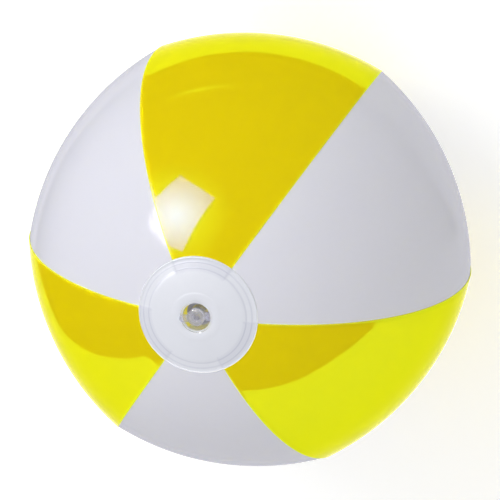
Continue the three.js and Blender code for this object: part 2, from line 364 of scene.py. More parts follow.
def see_through_vinyl(tree, colour, clearness):
    """Soft vinyl injected into a polished mould, with flow marks that bend what is seen through it."""
    where = add_node(tree, "TexCoord").outputs["Object"]
    flow = add_node(tree, "TexNoise", {"Vector": where, "Scale": 1 / FLOW_WIDTH, "Detail": 2.0})
    inputs = {0: flow, 6: rgba(darker(colour, share=0.06)), 7: rgba(colour)}
    tint = add_node(tree, "Mix", inputs, data_type="RGBA").outputs[2]
    relief = add_node(tree, "Bump", {"Height": flow, "Strength": 0.5, "Distance": FLOW_DEPTH})
    inputs = {
        "Base Color": tint,
        "Roughness": 0.04,
        "IOR": VINYL_IOR,
        "Transmission Weight": clearness,
        "Normal": relief,
    }
    return add_node(tree, "BsdfPrincipled", inputs)


def clear_moulded_vinyl(tree, colours):
    """Thick clear vinyl with a blue toner: glassy at its edges, violet grey and a little cloudy inside."""
    return see_through_vinyl(tree, colours.clear, clearness=0.82)


def cloudy_moulded_vinyl(tree, colours):
    """The same vinyl where it is thickest: hazy, so it looks silver grey."""
    return see_through_vinyl(tree, colours.cloudy, clearness=0.2)


def thin_clear_vinyl(tree, colours):
    """The same vinyl in a thin wall: hardly any tint, so the bright inside of the ball shows."""
    return see_through_vinyl(tree, colours.thin_clear, clearness=0.94)


# Meshes

SHARP_ANGLE = math.radians(40)  # edges that bend more than this stay sharp
CORNER_PART = 2.2  # a rounded corner takes at most a side's length over this
CORNER_STEPS = 4


def add_piece(name, vertices, faces, materials):
    """A smooth mesh object in the scene, with its faces turned outwards."""
    mesh = bpy.data.meshes.new(name)
    mesh.from_pydata(vertices, [], faces)
    shape = bmesh.new()
    shape.from_mesh(mesh)
    bmesh.ops.recalc_face_normals(shape, faces=shape.faces)
    shape.to_mesh(mesh)
    shape.free()
    mesh.shade_smooth()
    mesh.set_sharp_from_angle(angle=SHARP_ANGLE)
    for material in materials:
        mesh.materials.append(material)
    piece = bpy.data.objects.new(name, mesh)
    bpy.context.scene.collection.objects.link(piece)
    return piece


def mark_painted_light_and_tint_at_welds(piece, shares):
    """Stores how strongly each vertex of the piece takes its material's second colour: painted highlight on a
    yellow film's edge bead, painted shade on a disc's rings and seams, a disc's darker rim over yellow film.
    """
    # The weld attribute holds painted highlight on yellow film and painted shade on a disc
    marks = piece.data.attributes.new("weld", "FLOAT", "POINT")
    marks.data.foreach_set("value", shares)


def seat_piece(piece, body, slot, *nodes):
    """The piece rides on its body and stands for the nodes, which it hides. The slot is not used."""
    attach(piece, body)
    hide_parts(*nodes)


def rounded(outline, radius):
    """A closed outline with its corners rounded, as far as nearly half of each side allows."""
    points = []
    for index, place in enumerate(outline):
        corner = Vector(place)
        before = Vector(outline[index - 1]) - corner
        after = Vector(outline[(index + 1) % len(outline)]) - corner
        reach = min(radius, before.length / CORNER_PART, after.length / CORNER_PART)
        start = corner + before.normalized() * reach
        end = corner + after.normalized() * reach
        for step in range(CORNER_STEPS + 1):
            share = step / CORNER_STEPS
            points.append(start.lerp(corner, share).lerp(corner.lerp(end, share), share))
    return points


def turned(profile, sides, lift=None):
    """Vertices and faces of a profile of (distance, height) points turned round the polar axis.
    The profile starts and ends on the axis or closes on itself. The lift adds height by distance and azimuth.
    """
    on_axis = profile[0][0] == 0
    rings = profile[1:-1] if on_axis else profile
    vertices = []
    for distance, height in rings:
        for side in range(sides):
            azimuth = 2 * math.pi * side / sides
            raised = height + (lift(distance, azimuth) if lift else 0)
            vertices.append((distance * math.cos(azimuth), distance * math.sin(azimuth), raised))
    faces = []
    for ring in range(len(rings) - on_axis):
        low = ring * sides
        high = (ring + 1) % len(rings) * sides
        for side in range(sides):
            beside = (side + 1) % sides
            faces.append((low + side, low + beside, high + beside, high + side))
    if on_axis:
        for height, first in ((profile[0][1], 0), (profile[-1][1], (len(rings) - 1) * sides)):
            pole = len(vertices)
            vertices.append((0, 0, height))
            faces += [(pole, first + side, first + (side + 1) % sides) for side in range(sides)]
    return vertices, faces


def slab(outline, low, high):
    """Vertices and faces of an outline of (x, z) points, thickened along Y."""
    count = len(outline)
    vertices = [(x, y, z) for y in (low, high) for x, z in outline]
    faces = [tuple(range(count)), tuple(range(2 * count - 1, count - 1, -1))]
    faces += [(at, (at + 1) % count, count + (at + 1) % count, count + at) for at in range(count)]
    return vertices, faces


def soften(piece, bevel):
    """Rounds the piece's edges, after what its other modifiers do, and keeps the result as its mesh."""
    rounding = piece.modifiers.new("rounding", "BEVEL")
    rounding.width = bevel
    rounding.segments = 2
    rounding.limit_method = "ANGLE"
    rounding.angle_limit = math.radians(35)
    bpy.context.view_layer.update()
    made = bpy.data.meshes.new_from_object(piece.evaluated_get(bpy.context.evaluated_depsgraph_get()))
    piece.modifiers.clear()
    piece.data = made


def fuse(piece, other, bevel):
    """Joins another mesh into the piece and rounds the edges where they meet."""
    union = piece.modifiers.new("union", "BOOLEAN")
    union.operation = "UNION"
    union.solver = "EXACT"
    union.object = other
    soften(piece, bevel)
    bpy.data.objects.remove(other)


class Builder:
    """What the operators share: each one builds its pieces from the scene's settings."""

    def execute(self, context):
        self.build(context.scene.beach_ball)
        return {"FINISHED"}


# Film panels

PANEL_ROWS = 150
PANEL_COLUMNS = 36
LAP_STATIONS = (-1, -0.6, -0.2, 0.2, 0.5, 0.6, 0.68, 0.76, 0.84, 0.92, 1)  # 1 at the film's free edge
EDGE_HIGHLIGHT_FADE = (-0.2, 0.3)  # stations from the start of a bead between which the painted highlight along the edge grows
BEAD_TUCK = 0.9  # share of the gap below by which a free edge lies down
PUCKER_LENGTH = 11 * MM  # from wave to wave along a seam
PUCKER_REACH = 9 * MM  # from the seam to where the waves have died out
PUCKER_PATCH = 3 * PUCKER_LENGTH  # length of seam over which the waves grow and fade
PUCKER_SHIFT = 3  # how far the waves shift to and fro, as an angle of the wave
PUCKER_SHIFT_LENGTH = 30 * MM  # length of seam over which they do
SIDE_SEED = 5  # sets the two edges of a panel apart in the noise
SLACK_LENGTH = 70 * MM  # from one broad wave to the next


def centre_height(ball):
    """Height of the ball's centre over the floor."""
    return math.sqrt(disc_outer(ball) ** 2 - ball.contact_radius**2)


def disc_outer(ball):
    """From the ball's centre to the outer face of a disc."""
    return ball.seam_radius + 2 * ball.weld_gap + ball.film + ball.disc_film


def section_share(ball, angle):
    """Share of the seam's distance from the axis at which a panel lies, at an angle from its middle."""
    from_middle = min(abs(angle), 2 * HALF_PANEL - abs(angle))
    middle = 1 - ball.panel_dip / ball.seam_radius
    sagitta = middle - math.cos(HALF_PANEL)
    arc_radius = (math.sin(HALF_PANEL) ** 2 + sagitta**2) / (2 * sagitta)
    arc_centre = middle - arc_radius
    across = arc_centre * math.sin(from_middle)
    return arc_centre * math.cos(from_middle) + math.sqrt(arc_radius**2 - across**2)


def panel_point(ball, angle, polar, rise):
    """Point of a panel at an angle from its middle and from the upper pole, with a rise over the seams."""
    rim_angle = math.asin(ball.disc_radius / ball.seam_radius)
    fullness = smoothstep(min(polar, math.pi - polar), rim_angle, ball.full_dip_angle)
    share = 1 - fullness * (1 - section_share(ball, angle))
    distance = (ball.seam_radius * share + rise) * math.sin(polar)
    height = (ball.seam_radius + rise) * math.cos(polar)
    return Vector((distance * math.cos(angle), distance * math.sin(angle), height))


def panel_stations(ball, polar, laps_past_seam):
    """Across a panel, at an angle from the pole: (angle from its middle, station in the lap or -1)."""
    lap_angle = math.asin(ball.lap / (ball.seam_radius * math.sin(polar)))
    inside = HALF_PANEL + lap_angle * (laps_past_seam - 1)
    edge = [(inside + lap_angle * (station + 1) / 2, station) for station in LAP_STATIONS]
    middle = [(mix(-inside, inside, step / PANEL_COLUMNS), -1) for step in range(1, PANEL_COLUMNS)]
    return [(-angle, station) for angle, station in reversed(edge)] + middle + edge


def film_unevenness(ball, place, angle, polar, seed):
    """Small waves along the seams and broad ones over the whole panel, which the taut film keeps."""
    from_seam = abs(HALF_PANEL - abs(angle)) * ball.seam_radius * math.sin(polar)
    along = polar * ball.seam_radius
    fading = 1 - smoothstep(from_seam, 0, PUCKER_REACH)
    patch = 0.5 + 0.5 * noise.noise(Vector((along / PUCKER_PATCH, math.copysign(SIDE_SEED, angle), seed)))
    shift = PUCKER_SHIFT * noise.noise(Vector((along / PUCKER_SHIFT_LENGTH, seed, 0)))
    wave = math.sin(2 * math.pi * along / PUCKER_LENGTH + shift)
    broad = noise.noise(place / SLACK_LENGTH + Vector((seed, 0, 0)))
    return ball.pucker * fading * patch * wave + ball.slack * broad * (1 - fading)


def film_panel(ball, name, azimuth, inner_rise, laps_past_seam, bead, seed, materials):
    """A closed gore of film from disc to disc. Its free edges end in a bead that lies down on the film below.
    Its inner skin has the second material.
    """
    end_angle = math.asin((ball.disc_radius - ball.disc_lap) / ball.seam_radius)
    turn = Matrix.Rotation(azimuth, 3, "Z")
    centre = Vector((0, 0, centre_height(ball)))
    bead_start = 1 - ball.bead_width / (ball.lap / 2)
    tuck = BEAD_TUCK * ball.weld_gap if bead else 0
    skins = ([], [])
    edge_highlight_shares = []
    for row in range(PANEL_ROWS + 1):
        polar = mix(end_angle, math.pi - end_angle, row / PANEL_ROWS)
        for angle, station in panel_stations(ball, polar, laps_past_seam):
            # How strongly the vertex takes the painted highlight along the edge bead; the white film doesn't
            # read it
            edge_highlight_shares.append(smoothstep(station, bead_start + EDGE_HIGHLIGHT_FADE[0], bead_start + EDGE_HIGHLIGHT_FADE[1]))
            along_bead = max(0.0, (station - bead_start) / (1 - bead_start))
            shape = bead * math.sin(math.pi * along_bead) - tuck * along_bead**4
            place = panel_point(ball, angle, polar, inner_rise)
            wave = film_unevenness(ball, place, angle, polar, seed)
            for skin, rise in zip(skins, (inner_rise + ball.film, inner_rise)):
                skin.append(centre + turn @ panel_point(ball, angle, polar, rise + shape + wave))
    columns = len(LAP_STATIONS) * 2 + PANEL_COLUMNS - 1
    inner = len(skins[0])
    outer_faces = []
    for row in range(PANEL_ROWS):
        for column in range(columns - 1):
            at = row * columns + column
            outer_faces.append((at, at + columns, at + columns + 1, at + 1))
    inner_faces = [tuple(inner + at for at in reversed(face)) for face in outer_faces]
    last = PANEL_ROWS * columns
    border = list(range(columns))
    border += [row * columns + columns - 1 for row in range(1, PANEL_ROWS + 1)]
    border += list(range(last + columns - 2, last - 1, -1))
    border += [row * columns for row in range(PANEL_ROWS - 1, 0, -1)]
    rim = [(a, b, inner + b, inner + a) for a, b in zip(border, border[1:] + border[:1])]
    piece = add_piece(name, skins[0] + skins[1], outer_faces + rim + inner_faces, materials)
    first_inner = len(outer_faces) + len(rim)
    for face in piece.data.polygons[first_inner:]:
        face.material_index = 1
    mark_painted_light_and_tint_at_welds(piece, edge_highlight_shares + edge_highlight_shares)
    return piece


class BEACHBALL_OT_panels(Builder, bpy.types.Operator):
    """Make the six gores of film, yellow lapped over white"""

    bl_idname = "beach_ball.panels"
    bl_label = "Film panels"

    def build(self, settings):
        ball = settings.ball
        inside = ready_material(inner_skin_of_film)
        white = (ready_material(calendered_white_vinyl, settings.colours), inside)
        yellow = (ready_material(calendered_yellow_vinyl, settings.colours), inside)
        for pair in range(PANEL_PAIRS):
            azimuth = ball.seam_azimuth + HALF_PANEL * (4 * pair + 1)
            name = f"white_gore_{pair + 1}"
            piece = film_panel(ball, name, azimuth, -ball.film, 1, 0, 2 * pair, white)
            seat_piece(piece, "ball", "white_film", f"panel_white_{pair + 1}")
            name = f"yellow_gore_{pair + 1}"
            azimuth += 2 * HALF_PANEL
            piece = film_panel(ball, name, azimuth, ball.weld_gap, 0, ball.bead, 2 * pair + 1, yellow)
            seat_piece(piece, "ball", "yellow_film", f"panel_yellow_{pair + 1}")


# Polar discs

DISC_SIDES = 180
RIDGE_STEPS = 16
LIP_STEPS = 6
PLAIN_STEPS = 8
HOLE_BRINK = 0.25 * MM  # from the edge of the hole to where the disc has its full thickness
FLANGE_PRINT = 0.12 * MM  # step in the disc where it lies over the flange
PRINT_WIDTH = 1.0 * MM
PRINT_STATION = 0.3 * MM
PLAIN_START = 1.5 * MM  # from the flange's edge to the plain part of the disc
LIP_WIDTH = 1.3 * MM  # width of the bead along the disc's edge
LIP_BEAD = 0.28 * MM  # its height
LIP_TUCK = 0.5  # share of its thickness by which the disc's edge lies down
DISC_EDGE = 0.9 * MM  # width of the edge that the cutting die has pressed
LAP_STEP = (-0.9 * MM, 0.3 * MM)  # from a seam to where a disc steps up on the yellow film
SINK_START = 1.5 * MM  # from the inner ring in to where a disc begins to sink
SINK_END = 0.6 * MM  # and out to where it lies on the white film
SINK_SPARE = 0.05 * MM  # what is left between the two
# Shares of the disc's darker colour: painted shade on the weld rings and on the seams beneath the disc, and a
# darker rim where the disc lies over yellow film
RING_PAINTED_SHADE_ON_YELLOW = 0.95
RING_PAINTED_SHADE_ON_WHITE = 0.5
RIM_MARK_ON_YELLOW = 0.36
SEAM_PAINTED_SHADOW = 0.6
RING_FADE = (0.25, 0.75)  # ring widths from its middle between which its painted shade fades
SEAM_PAINTED_SHADOW_WIDTH = 1.2 * MM


def weld_rings(ball):
    """Distances from the axis of the two rings that weld a disc down, the outer one first."""
    return (ball.disc_radius - ball.disc_lap / 2, ball.disc_radius - ball.disc_lap)


def disc_profile(ball, inner_radius, flat_radius):
    """Outline of a disc with its pole upwards, from its edge in to its inner radius and back underneath."""
    outer = disc_outer(ball)
    inner = outer - ball.disc_film
    rings = weld_rings(ball)
    half_ridge = ball.weld_ridge_width / 2
    edge = FLANGE_HIGH.y
    plain = (edge + PLAIN_START, rings[1] - 2 * half_ridge)
    stations = {inner_radius + HOLE_BRINK, flat_radius, (inner_radius + flat_radius) / 2}
    for ring in rings:
        stations |= {ring + 2 * half_ridge * (2 * step / RIDGE_STEPS - 1) for step in range(RIDGE_STEPS + 1)}
    stations |= {edge + PRINT_STATION * step for step in range(-2, 5)}
    stations |= {mix(*plain, step / PLAIN_STEPS) for step in range(1, PLAIN_STEPS)}
    stations |= {ball.disc_radius - LIP_WIDTH * (1 - step / LIP_STEPS) for step in range(LIP_STEPS)}
    kept = sorted(station for station in stations if station > inner_radius)

    def flange_print(distance):
        return 0 if flat_radius else FLANGE_PRINT * smoothstep(distance, edge, edge + PRINT_WIDTH)

    def upper(distance):
        height = math.sqrt(outer**2 - max(distance, flat_radius) ** 2)
        for ring in rings:
            height += ball.weld_ridge * smoothstep(half_ridge - abs(distance - ring), 0, half_ridge)
        height -= flange_print(distance)
        along_lip = max(0.0, 1 - (ball.disc_radius - distance) / LIP_WIDTH)
        return height + LIP_BEAD * math.sin(math.pi * along_lip) - LIP_TUCK * ball.disc_film * along_lip**3

    def under(distance):
        return math.sqrt(inner**2 - max(distance, flat_radius) ** 2) - flange_print(distance)

    top = [(distance, upper(distance)) for distance in reversed(kept)]
    below = [(distance, under(distance)) for distance in kept]
    rim = (ball.disc_radius, under(ball.disc_radius))
    if inner_radius:
        brink = (upper(inner_radius) + under(inner_radius)) / 2
        return [*top, (inner_radius, brink), *below, rim]
    return [(0, upper(0)), *reversed(top), rim, *reversed(below), (0, under(0))]


def share_over_white(ball, distance, azimuth):
    """1 where a disc lies over a white panel and 0 where it lies over a yellow one."""
    turn = (azimuth - ball.seam_azimuth - HALF_PANEL) % (4 * HALF_PANEL)
    from_white = min(turn, 4 * HALF_PANEL - turn) * distance
    edge = HALF_PANEL * distance
    return 1 - smoothstep(from_white, edge + LAP_STEP[0], edge + LAP_STEP[1])


def lap_print(ball, side):
    """How the rim of a disc sinks over the white panels, which lie lower. The side is 1 above, -1 below."""
    drop = ball.weld_gap + ball.film - SINK_SPARE
    inner = weld_rings(ball)[1]

    def lift(distance, azimuth):
        sunk = smoothstep(distance, inner - SINK_START, inner + SINK_END)
        return -side * drop * share_over_white(ball, distance, azimuth) * sunk

    return lift


def disc_shade_and_underlay_shares(ball, piece):
    """How strongly each vertex of a disc takes its darker colour: painted shade on the rings and seams, and
    the rim over yellow.
    """
    rings = weld_rings(ball)
    width = ball.weld_ridge_width
    shares = []
    for vertex in piece.data.vertices:
        distance = vertex.co.xy.length
        azimuth = math.atan2(vertex.co.y, vertex.co.x)
        nearest = min(abs(distance - ring) for ring in rings)
        over_white = share_over_white(ball, distance, azimuth)
        ring = mix(RING_PAINTED_SHADE_ON_YELLOW, RING_PAINTED_SHADE_ON_WHITE, over_white)
        ring *= 1 - smoothstep(nearest, RING_FADE[0] * width, RING_FADE[1] * width)
        on_rim = smoothstep(distance, rings[1] - 2 * width, rings[1] - width)
        turn = (azimuth - ball.seam_azimuth) % (2 * HALF_PANEL)
        from_seam = min(turn, 2 * HALF_PANEL - turn) * distance
        seam = SEAM_PAINTED_SHADOW * on_rim * (1 - smoothstep(from_seam, 0, SEAM_PAINTED_SHADOW_WIDTH))
        shares.append(max(ring, mix(RIM_MARK_ON_YELLOW, 0, over_white) * on_rim, seam))
    return shares


class BEACHBALL_OT_discs(Builder, bpy.types.Operator):
    """Make the two milky discs over the ends of the panels"""

    bl_idname = "beach_ball.discs"
    bl_label = "Polar discs"

    def build(self, settings):
        ball = settings.ball
        skins = [ready_material(make, settings.colours) for make in (milky_disc_vinyl, pressed_disc_edge)]
        centre = centre_height(ball)
        upper = ("valve_disc_film", "valve_disc", 1, ball.hole_radius, 0)
        lower = ("end_disc_film", "end_disc", -1, 0, ball.contact_radius)
        for name, node, side, hole_radius, flat_radius in (upper, lower):
            outline = disc_profile(ball, hole_radius, flat_radius)
            profile = [(distance, centre + side * height) for distance, height in outline]
            piece = add_piece(name, *turned(profile, DISC_SIDES, lap_print(ball, side)), skins)
            # Painted shade on the weld rings and the seams beneath the disc, and the darker rim over yellow
            # film
            mark_painted_light_and_tint_at_welds(piece, disc_shade_and_underlay_shares(ball, piece))
            for face in piece.data.polygons:
                face.material_index = int(face.center.xy.length > ball.disc_radius - DISC_EDGE)
            seat_piece(piece, "ball", "disc_film", node)


# Valve

VALVE_SIDES = 96
STRAIGHT_STEPS = 8
BEND_STEPS = 16
TAB_STEPS = 16
HINGE_STEPS = 8
MILKY_DEPTH = 1.5 * MM  # upper part of the skirt, drawn in the disc's milky white, which shows as a pale band round the hole
FOOT_RADIUS = 7.9 * MM  # where the skirt's wall begins to thicken towards the stem
FOOT_SHIFT = 0.7 * MM  # how much further out that is on the thicker side
FOOT_SIDE = Vector((math.cos(math.radians(45)), math.sin(math.radians(45))))  # way to the thicker side
AXIS_ZONE = 0.4  # share of the plug's tip round the axis where the outline needs no rounding
THIN_STRETCH = 1.45 * MM  # strap that thins towards its hinge, and so clears the skirt when it swings out


def add_vinyl(name, shape, colours):
    """A piece of thick clear vinyl, from its vertices and faces."""
    return add_piece(name, *shape, [ready_material(clear_moulded_vinyl, colours)])


class BEACHBALL_OT_flange(Builder, bpy.types.Operator):
    """Make the ring that is welded under the disc"""

    bl_idname = "beach_ball.flange"
    bl_label = "Valve flange"

    def build(self, settings):
        ball = settings.ball
        top = disc_outer(ball) - ball.disc_film - ball.weld_gap
        low = top - settings.valve.flange_thickness
        radii = (ball.hole_radius, FLANGE_HIGH.y)
        centre = centre_height(ball)
        outline = [(distance, centre + math.sqrt(low**2 - distance**2)) for distance in radii]
        outline += [(distance, centre + math.sqrt(top**2 - distance**2)) for distance in reversed(radii)]
        profile = rounded(outline, settings.valve.edge_round)
        piece = add_vinyl("flange_ring", turned(profile, VALVE_SIDES), settings.colours)
        seat_piece(piece, "ball", "clear_vinyl", "valve_flange")


class BEACHBALL_OT_skirt(Builder, bpy.types.Operator):
    """Make the soft bowl that carries the stem. On the ball it turns inside out when the valve is pulled;
    this piece stays as it is built.
    """

    bl_idname = "beach_ball.skirt"
    bl_label = "Valve skirt"

    def build(self, settings):
        valve = settings.valve
        zones = (thin_clear_vinyl, milky_disc_vinyl, cloudy_moulded_vinyl)
        skins = [ready_material(make, settings.colours) for make in zones]
        half = valve.skirt_wall / 2
        middle = SKIRT_HIGH.y - half
        foot = valve.stem_radius + valve.clearance
        bend = SKIRT_HIGH.z - valve.skirt_straight
        drop = bend - SKIRT_LOW.z - half
        wall = [(middle, mix(SKIRT_HIGH.z, bend, step / STRAIGHT_STEPS), 0) for step in range(STRAIGHT_STEPS)]
        for step in range(BEND_STEPS + 1):
            turn = math.pi / 2 * step / BEND_STEPS
            across = foot + (middle - foot) * math.cos(turn)
            wall.append((across, bend - drop * math.sin(turn), turn))
        inner = []
        outer = []
        for across, height, turn in wall:
            inner.append((across - half * math.cos(turn), height + half * math.sin(turn)))
            outer.append((across + half * math.cos(turn), height - half * math.sin(turn)))
        piece = add_piece("skirt_bowl", *turned(inner + outer[::-1], VALVE_SIDES), skins)
        for face in piece.data.polygons:
            out = face.center.xy
            if face.center.z > SKIRT_HIGH.z - MILKY_DEPTH:
                face.material_index = 1
            elif out.length < FOOT_RADIUS + FOOT_SHIFT * out.normalized().dot(FOOT_SIDE):
                face.material_index = 2
        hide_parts("valve_skirt")
        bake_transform(piece)


class BEACHBALL_OT_stem(Builder, bpy.types.Operator):
    """Make the tube with the air passage and the lug for the strap"""

    bl_idname = "beach_ball.stem"
    bl_label = "Valve stem"

    def build(self, settings):
        valve = settings.valve
        outline = [
            (valve.bore_radius, STEM_LOW.z),
            (valve.stem_radius, STEM_LOW.z),
            (valve.stem_radius, STEM_HIGH.z),
            (valve.bore_radius, STEM_HIGH.z),
        ]
        profile = rounded(outline, 2 * valve.edge_round)
        piece = add_vinyl("stem_tube", turned(profile, VALVE_SIDES), settings.colours)
        root = (valve.bore_radius + valve.stem_radius) / 2
        top = STEM_HIGH.z - valve.edge_round / 4
        lug_outline = [
            (root, top),
            (root, STEM_HIGH.z - valve.lug_depth),
            (valve.stem_radius, STEM_HIGH.z - valve.lug_depth),
            (STEM_HIGH.x, STEM_HIGH.z - valve.lug_depth / 3),
            (STEM_HIGH.x, top),
        ]
        lug = add_vinyl("lug", slab(lug_outline, STRAP_LOW.y, STRAP_HIGH.y), settings.colours)
        fuse(piece, lug, valve.edge_round / 2)
        seat_piece(piece, "stem", "clear_vinyl", "valve_stem")


class BEACHBALL_OT_flap(Builder, bpy.types.Operator):
    """Make the flap that closes the lower end of the bore"""

    bl_idname = "beach_ball.flap"
    bl_label = "Check flap"

    def build(self, settings):
        radius = FLAP_HIGH.y
        outline = [(0, FLAP_LOW.z), (radius, FLAP_LOW.z), (radius, FLAP_HIGH.z), (0, FLAP_HIGH.z)]
        rim = [point for point in rounded(outline, settings.valve.edge_round) if point[0] > radius / 2]
        profile = [(0, FLAP_LOW.z), *rim, (0, FLAP_HIGH.z)]
        piece = add_vinyl("flap_disc", turned(profile, VALVE_SIDES), settings.colours)
        seat_piece(piece, "flap", "clear_vinyl", "check_flap")


def rim_height(ball):
    """Height of the disc's outer face at the edge of its hole."""
    return centre_height(ball) + math.sqrt(disc_outer(ball) ** 2 - ball.hole_radius**2)


class BEACHBALL_OT_plug(Builder, bpy.types.Operator):
    """Make the hollow plug with its cap and pull tab"""

    bl_idname = "beach_ball.plug"
    bl_label = "Valve plug"

    def build(self, settings):
        valve = settings.valve
        spigot = valve.bore_radius - valve.spigot_fit
        tip = spigot - valve.spigot_taper
        cap = valve.stem_radius + valve.cap_overhang
        foot = STEM_HIGH.z + valve.clearance
        floor = PLUG_LOW.z + valve.plug_wall
        outline = [
            (0, PLUG_LOW.z),
            (tip, PLUG_LOW.z),
            (spigot, foot),
            (cap, foot),
            (cap, PLUG_HIGH.z),
            (spigot - valve.plug_wall, PLUG_HIGH.z),
            (tip - valve.plug_wall, floor),
            (0, floor),
        ]
        rim = [point for point in rounded(outline, valve.edge_round) if point[0] > AXIS_ZONE * tip]
        profile = [(0, PLUG_LOW.z), *rim, (0, floor)]
        piece = add_vinyl("plug_cap", turned(profile, VALVE_SIDES), settings.colours)
        half = valve.tab_width / 2
        tab_low = rim_height(settings.ball) + valve.tab_lift
        tab_outline = [(-spigot, half), (-spigot, -half)]
        for step in range(TAB_STEPS + 1):
            turn = math.pi * (1 + step / TAB_STEPS)
            tab_outline.append((PLUG_LOW.x + half + half * math.sin(turn), half * math.cos(turn)))
        vertices, faces = slab(tab_outline, tab_low, tab_low + valve.tab_thickness)
        flat = [(x, y, z) for x, z, y in vertices]
        tab = add_vinyl("tab", (flat, faces), settings.colours)
        fuse(piece, tab, valve.edge_round / 2)
        seat_piece(piece, "plug", "clear_vinyl", "valve_plug")


class BEACHBALL_OT_strap(Builder, bpy.types.Operator):
    """Make the strap that ties the plug to the stem"""

    bl_idname = "beach_ball.strap"
    bl_label = "Plug strap"

    def build(self, settings):
        half = (STRAP_HIGH.z - STRAP_LOW.z) / 2
        outline = [(STRAP_LOW.x, STRAP_HIGH.z), (STRAP_LOW.x, STRAP_LOW.z)]
        for step in range(HINGE_STEPS + 1):
            turn = math.pi / 2 * (step / HINGE_STEPS - 1)
            outline.append((HINGE.x + half * math.cos(turn), HINGE.z + half * math.sin(turn)))
        for step in range(HINGE_STEPS + 1):
            share = step / HINGE_STEPS
            rise = (STRAP_HIGH.z - HINGE.z) * smoothstep(share, 0, 1)
            outline.append((mix(HINGE.x, HINGE.x - THIN_STRETCH, share), HINGE.z + rise))
        piece = add_vinyl("strap_band", slab(outline, STRAP_LOW.y, STRAP_HIGH.y), settings.colours)
        soften(piece, settings.valve.edge_round / 2)
        seat_piece(piece, "plug", "clear_vinyl", "plug_strap")


# Stage

PHOTO_SIDE = 500  # pixels along each side of the picture
BALL_PIXEL = (250.6, 249.2)  # where the ball's centre falls in it
CAMERA_DISTANCE = 1.96
FOCAL_PIXELS = 3089
POLE_TILT = math.radians(21.6)  # from the camera's axis to the ball's pole
POLE_SIDE = math.radians(231.3)  # way in which the pole leans in the picture, from the right, anticlockwise
STRAP_TURN = math.radians(7.6)  # turn of the ball about its pole
SENSOR = 36.0
CLIP_END = 200


def picture_axes():
    """Rotation whose columns are the picture's right, its up and the way to the camera."""
    lean = math.sin(POLE_TILT)
    pole = Vector((lean * math.cos(POLE_SIDE), lean * math.sin(POLE_SIDE), math.cos(POLE_TILT)))
    right = Vector((1, 0, 0))
    first = (right - pole * right.dot(pole)).normalized()
    second = pole.cross(first)
    row_x = first * math.cos(STRAP_TURN) + second * math.sin(STRAP_TURN)
    row_y = second * math.cos(STRAP_TURN) - first * math.sin(STRAP_TURN)
    return Matrix((row_x, row_y, pole))


def add_camera(centre):
    """The camera at the photograph's viewing angle."""
    data = bpy.data.cameras.new("camera")
    data.sensor_width = SENSOR
    data.lens = FOCAL_PIXELS * SENSOR / PHOTO_SIDE
    data.clip_end = CLIP_END
    axes = picture_axes()
    off_centre = Vector((BALL_PIXEL[0] - PHOTO_SIDE / 2, PHOTO_SIDE / 2 - BALL_PIXEL[1], 0))
    camera = bpy.data.objects.new("camera", data)
    away = Vector((0, 0, CAMERA_DISTANCE)) - off_centre * CAMERA_DISTANCE / FOCAL_PIXELS
    camera.matrix_world = Matrix.Translation(centre + axes @ away) @ axes.to_4x4()
    bpy.context.scene.collection.objects.link(camera)
    bpy.context.scene.camera = camera


WORLD_LEVEL = 0.72
FLOOR_SIDE = 120
FLOOR_FILL = 0.36
FLOOR_DROP = 0.2 * MM  # keeps the floor clear of the flat on the lower disc
KEY_DISTANCE = 1.2
KEY_WATTS = 4.9
KEY_SIDE = 0.6

# What the film mirrors: middles and corners of the studio's cards, as ways from the ball along the picture's
# right, its up and to the camera
CARD_DISTANCE = 12
SOFTBOX_LEVEL = 290
SOFTBOX_DIM = 80
SOFTBOX_REACH = 5
SOFTBOX_HOT_SPOT = (-0.6, 0.3, 0.74)
SOFTBOX_CORNERS = (
    (-0.51, 0.63, 0.59), (-0.285, 0.48, 0.83), (-0.56, -0.02, 0.83), (-0.7, 0.03, 0.715),
    (-0.82, 0.17, 0.55), (-0.69, 0.43, 0.59),
)
COOL_DISTANCE = 0.98 * CARD_DISTANCE
COOL_LEVEL = 300
COOL_DIM = 85
COOL_REACH = 4.2
COOL_TINT = linear("2522FF")
COOL_DEPTH = 1.5  # ray depth beyond which the cloth is white
HALO_DISTANCE = 1.1 * CARD_DISTANCE
HALO_LEVEL = 4.2
HALO_REACH = 6.3
HALO_SPREAD = 2
STRIP_LEVEL = 2.8
STRIP_REACH = 0.2 * CARD_DISTANCE
STRIP_MIDDLE = (-0.25, 0.96, -0.13)
STRIP_CORNERS = (
    (-0.43, 0.885, -0.16), (-0.43, 0.895, -0.13), (-0.25, 0.962, -0.11), (-0.08, 0.992, -0.115),
    (-0.08, 0.988, -0.14), (-0.25, 0.957, -0.145),
)
SET_LEVEL = 3.1
SET_MIDDLE = (0, -0.35, -0.94)
SET_CORNERS = (
    (0, 0.785, -0.62), (-0.16, 0.775, -0.6), (-0.36, 0.775, -0.565), (-0.54, -0.07, -0.84),
    (-0.61, -0.265, -0.745), (-0.77, -0.575, -0.28), (-0.695, -0.705, 0.14), (-0.07, -0.97, 0.24),
    (0.38, -0.9, 0.205), (0.55, -0.81, 0.19), (0.66, -0.73, 0.165), (0.79, -0.6, 0.12),
    (0.935, -0.25, 0.25), (0.985, 0, -0.16), (0.63, 0.09, -0.77), (0.775, 0.3, -0.555),
    (0.63, 0.67, -0.4), (0.415, 0.74, -0.53),
)
FLAG_LEVEL = 0.02
FLAG_MIDDLE = (0.85, 0.4, 0.33)
FLAG_CORNERS = (
    (0.64, -0.05, 0.77), (0.62, 0.7, 0.35), (0.78, 0.6, -0.1), (0.97, 0.2, -0.05), (0.95, 0, 0.3),
)


